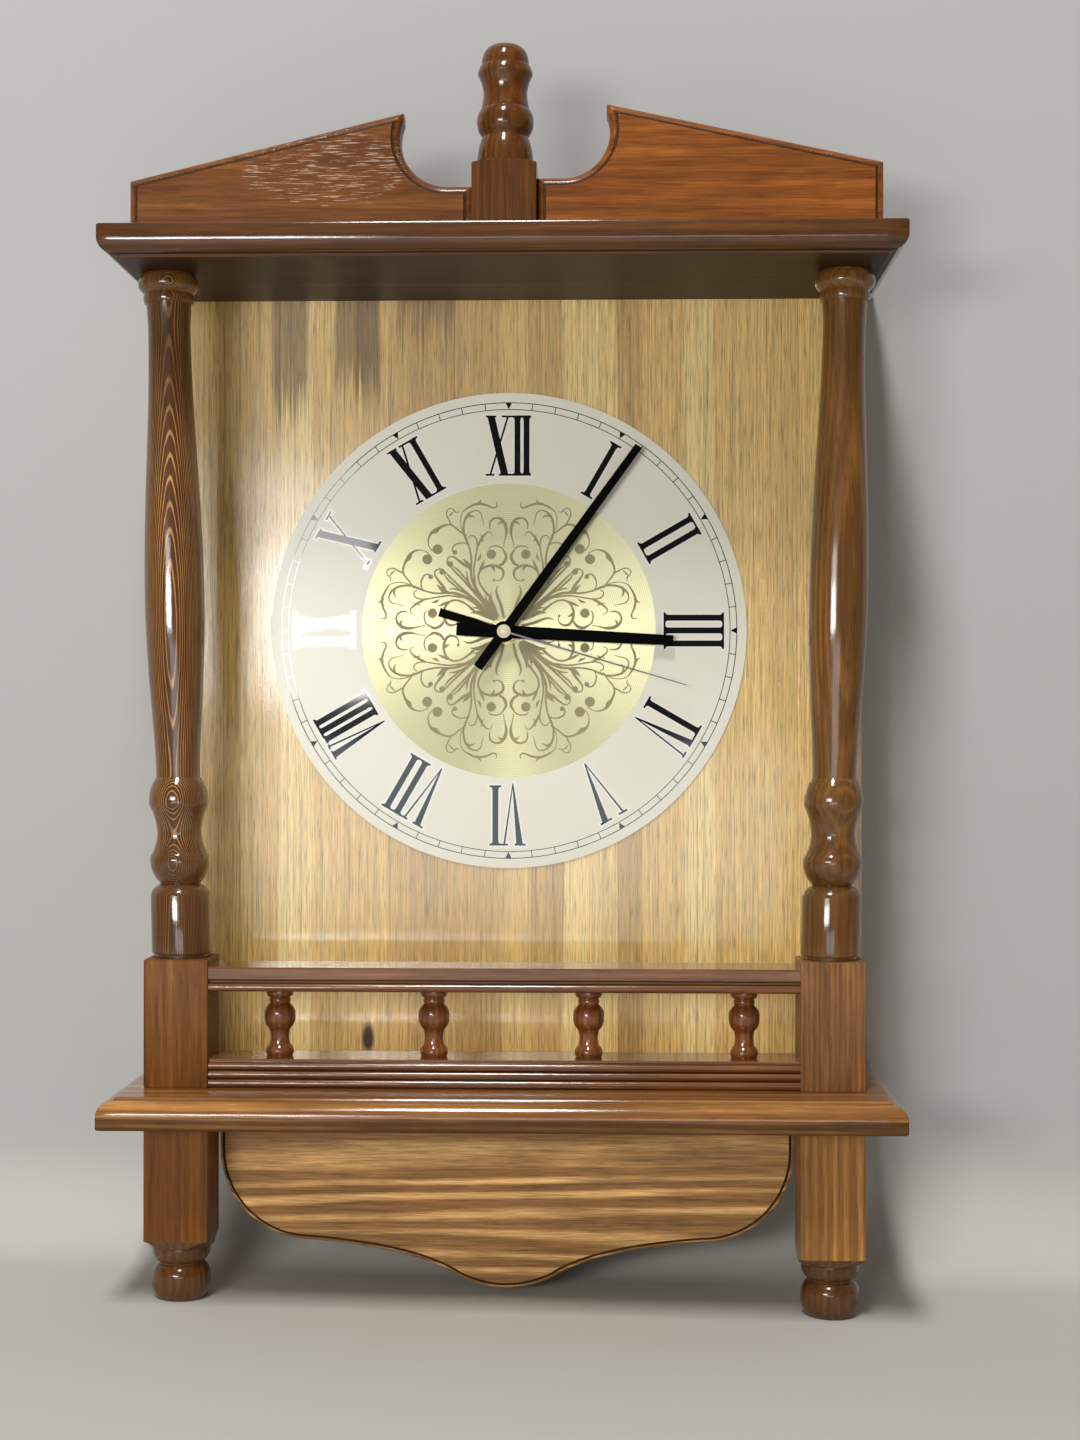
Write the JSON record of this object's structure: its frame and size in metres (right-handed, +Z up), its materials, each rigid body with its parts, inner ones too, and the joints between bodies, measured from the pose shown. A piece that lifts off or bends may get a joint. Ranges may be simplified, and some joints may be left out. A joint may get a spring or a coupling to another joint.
{
  "type": "wall clock",
  "caption": "Wall clock with a turned and moulded wooden case, broken pediment, gallery shelf, round dial with Roman numerals and a battery movement.",
  "frame": {"origin": "centre of the hanger plate's round entry hole, in the plane of the wall", "axes": "+X to the clock's right as seen from the front, +Y back to the wall, +Z up"},
  "size_m": [0.461, 0.184, 0.7493],
  "materials": {
    "panel_oak": "satin varnished light oak veneer",
    "shelf_pine": "gloss varnished stained pine",
    "cornice_pine": "gloss varnished stained pine",
    "post_pine": "gloss varnished stained pine",
    "apron_pine": "gloss varnished pine with a dark striped grain",
    "raw_pine": "bare planed pine",
    "beech": "bare beech",
    "plate_steel": "zinc plated",
    "dial_face": "cream lacquer with a gold centre",
    "black_rubber": "matt",
    "brass": "polished",
    "hand_black": "black gloss lacquer",
    "case_black": "moulded ABS",
    "wheel_white": "moulded acetal",
    "cannon_brass": "machined",
    "magnet": "ferrite magnet",
    "stator_steel": "stamped",
    "copper_wire": "enamelled copper winding",
    "board_green": "solder mask",
    "crystal_can": "plated can",
    "battery_cell": "plain grey sleeve",
    "contact_steel": "nickel plated"
  },
  "bodies": {
    "case": {"back_panel": "panel_oak", "cornice_board": "cornice_pine", "lower_shelf": "shelf_pine", "left_column": "post_pine", "right_column": "post_pine", "left_post_block": "post_pine", "right_post_block": "post_pine", "gallery_top_rail": "post_pine", "gallery_bottom_rail": "post_pine", "gallery_spindle_1": "post_pine", "gallery_spindle_2": "post_pine", "gallery_spindle_3": "post_pine", "gallery_spindle_4": "post_pine", "left_leg": "post_pine", "right_leg": "post_pine", "apron": "apron_pine", "apron_glue_blocks": "raw_pine", "left_pediment": "cornice_pine", "right_pediment": "cornice_pine", "finial": "post_pine", "left_batten": "raw_pine", "right_batten": "raw_pine", "bottom_batten": "raw_pine", "hanging_rail": "raw_pine", "hanger_plate": "plate_steel", "hanger_screws": "plate_steel", "post_dowels": "beech", "gallery_dowels": "beech", "pediment_dowels": "beech", "dial_plate": "dial_face", "rubber_washer": "black_rubber", "brass_washer": "brass", "fixing_nut": "brass", "threaded_bush": "brass", "movement_case": "case_black", "movement_cover": "case_black", "stator": "stator_steel", "motor_coil": "copper_wire", "circuit_board": "board_green", "quartz_crystal": "crystal_can", "battery_contacts": "contact_steel"},
    "minute": {"minute_hand": "hand_black", "cannon_pinion": "cannon_brass"},
    "hour": {"hour_hand": "hand_black", "hour_wheel": "wheel_white"},
    "motion": {"motion_wheel": "wheel_white"},
    "knob": {"setting_knob": "case_black"},
    "second": {"second_hand": "hand_black", "second_wheel": "wheel_white"},
    "centre": {"centre_wheel": "wheel_white"},
    "third": {"third_wheel": "wheel_white"},
    "intermediate": {"intermediate_wheel": "wheel_white"},
    "rotor": {"rotor": "magnet"},
    "battery": {"battery": "battery_cell"}
  },
  "joints": [
    {"name": "minute_turn", "type": "hinge", "parent": "case", "child": "minute", "pos_m": [-0.004, -0.024, -0.184], "axis": [0, 1, 0], "continuous": true},
    {"name": "hour_turn", "type": "hinge", "parent": "case", "child": "hour", "pos_m": [-0.004, -0.024, -0.184], "axis": [0, 1, 0], "continuous": true},
    {"name": "motion_turn", "type": "hinge", "parent": "case", "child": "motion", "pos_m": [0.00545, -0.024, -0.18567], "axis": [0, 1, 0], "continuous": true},
    {"name": "knob_turn", "type": "hinge", "parent": "case", "child": "knob", "pos_m": [0.01491, -0.024, -0.184], "axis": [0, 1, 0], "continuous": true},
    {"name": "second_turn", "type": "hinge", "parent": "case", "child": "second", "pos_m": [-0.004, -0.024, -0.184], "axis": [0, 1, 0], "continuous": true},
    {"name": "centre_turn", "type": "hinge", "parent": "case", "child": "centre", "pos_m": [-0.004, -0.024, -0.184], "axis": [0, 1, 0], "continuous": true},
    {"name": "third_turn", "type": "hinge", "parent": "case", "child": "third", "pos_m": [-0.01295, -0.024, -0.17796], "axis": [0, 1, 0], "continuous": true},
    {"name": "intermediate_turn", "type": "hinge", "parent": "case", "child": "intermediate", "pos_m": [0.00294, -0.024, -0.17573], "axis": [0, 1, 0], "continuous": true},
    {"name": "rotor_turn", "type": "hinge", "parent": "case", "child": "rotor", "pos_m": [0.01056, -0.024, -0.17218], "axis": [0, 1, 0], "continuous": true},
    {"name": "battery_slide", "type": "slide", "parent": "case", "child": "battery", "axis": [0, 1, 0], "range_m": [0, 0.016]}
  ],
  "couplings": [
    {"joint": "hour_turn", "follows": "minute_turn", "ratio": 0.083333},
    {"joint": "motion_turn", "follows": "minute_turn", "ratio": -0.33333},
    {"joint": "knob_turn", "follows": "minute_turn", "ratio": 1},
    {"joint": "centre_turn", "follows": "second_turn", "ratio": 0.016667},
    {"joint": "third_turn", "follows": "second_turn", "ratio": -0.125},
    {"joint": "intermediate_turn", "follows": "second_turn", "ratio": -5},
    {"joint": "rotor_turn", "follows": "second_turn", "ratio": 30}
  ]
}
